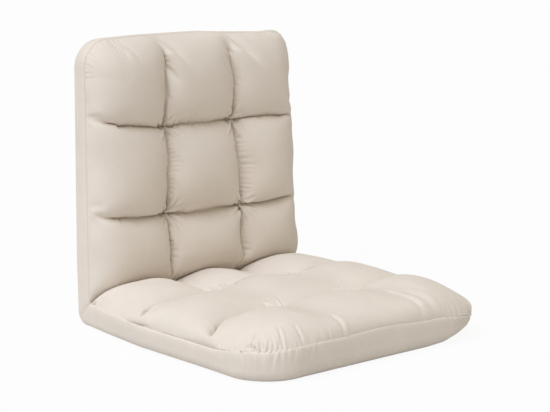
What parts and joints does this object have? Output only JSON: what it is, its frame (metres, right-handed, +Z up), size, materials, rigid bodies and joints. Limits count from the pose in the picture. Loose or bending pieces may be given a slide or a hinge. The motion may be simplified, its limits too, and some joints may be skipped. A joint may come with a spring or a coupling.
{
  "type": "folding floor chair",
  "caption": "Legless quilted floor chair: padded seat and backrest on steel tube frames, joined by ratchet hinges that recline flat or fold over the seat.",
  "frame": {"origin": "on the floor, midway across the chair and midway between its front edge and the rear face of the upright backrest", "axes": "+X to the sitter's left, -Y to the front of the seat, +Z up"},
  "size_m": [0.54, 0.553, 0.522],
  "materials": {
    "cover_fabric": "matte",
    "foam": "matte",
    "wadding": "matte",
    "webbing": "matte",
    "painted_tube": "satin",
    "zinc_plate": "satin",
    "pin_steel": "satin",
    "spring_steel": "satin"
  },
  "bodies": {
    "seat": {"hinge_cheek_inner_left": "zinc_plate", "hinge_cheek_inner_right": "zinc_plate", "hinge_cheek_outer_left": "zinc_plate", "hinge_cheek_outer_right": "zinc_plate", "hinge_cover_wrap": "cover_fabric", "hinge_gusset_left": "cover_fabric", "hinge_gusset_right": "cover_fabric", "hinge_rivets_left": "pin_steel", "hinge_rivets_right": "pin_steel", "hinge_spacers_left": "pin_steel", "hinge_spacers_right": "pin_steel", "pawl_pin_left": "pin_steel", "pawl_pin_right": "pin_steel", "pawl_spring_left": "spring_steel", "pawl_spring_right": "spring_steel", "pivot_pin_left": "pin_steel", "pivot_pin_right": "pin_steel", "seat_bottom_panel": "cover_fabric", "seat_cross_tube": "painted_tube", "seat_foam": "foam", "seat_frame_tube": "painted_tube", "seat_pillow_front_centre": "cover_fabric", "seat_pillow_front_left": "cover_fabric", "seat_pillow_front_right": "cover_fabric", "seat_pillow_middle_centre": "cover_fabric", "seat_pillow_middle_left": "cover_fabric", "seat_pillow_middle_right": "cover_fabric", "seat_pillow_rear_centre": "cover_fabric", "seat_pillow_rear_left": "cover_fabric", "seat_pillow_rear_right": "cover_fabric", "seat_side_band": "cover_fabric", "seat_wadding": "wadding", "seat_webbing": "webbing"},
    "back": {"back_cross_tube": "painted_tube", "back_foam": "foam", "back_frame_tube": "painted_tube", "back_pillow_low_centre": "cover_fabric", "back_pillow_low_left": "cover_fabric", "back_pillow_low_right": "cover_fabric", "back_pillow_middle_centre": "cover_fabric", "back_pillow_middle_left": "cover_fabric", "back_pillow_middle_right": "cover_fabric", "back_pillow_top_centre": "cover_fabric", "back_pillow_top_left": "cover_fabric", "back_pillow_top_right": "cover_fabric", "back_rear_panel": "cover_fabric", "back_side_band": "cover_fabric", "back_wadding": "wadding", "back_webbing": "webbing", "ratchet_left": "zinc_plate", "ratchet_right": "zinc_plate"},
    "pawl_left": {"pawl_left": "zinc_plate"},
    "pawl_right": {"pawl_right": "zinc_plate"}
  },
  "joints": [
    {"name": "back_fold", "type": "hinge", "parent": "seat", "child": "back", "pos_m": [0, 0.2535, 0.023], "axis": [1, 0, 0], "range_deg": [-90, 48], "deforming": ["seat_pillow_rear_left", "seat_pillow_rear_centre", "seat_pillow_rear_right", "back_pillow_low_left", "back_pillow_low_centre", "back_pillow_low_right", "hinge_cover_wrap", "hinge_gusset_left", "hinge_gusset_right"]},
    {"name": "pawl_lift_left", "type": "hinge", "parent": "seat", "child": "pawl_left", "pos_m": [0.223, 0.2265, 0.02], "axis": [1, 0, 0], "range_deg": [0, 9], "deforming": ["pawl_spring_left"]},
    {"name": "pawl_lift_right", "type": "hinge", "parent": "seat", "child": "pawl_right", "pos_m": [-0.223, 0.2265, 0.02], "axis": [1, 0, 0], "range_deg": [0, 9], "deforming": ["pawl_spring_right"]}
  ],
  "couplings": [
    {"joint": "pawl_lift_right", "follows": "pawl_lift_left", "ratio": 1}
  ]
}
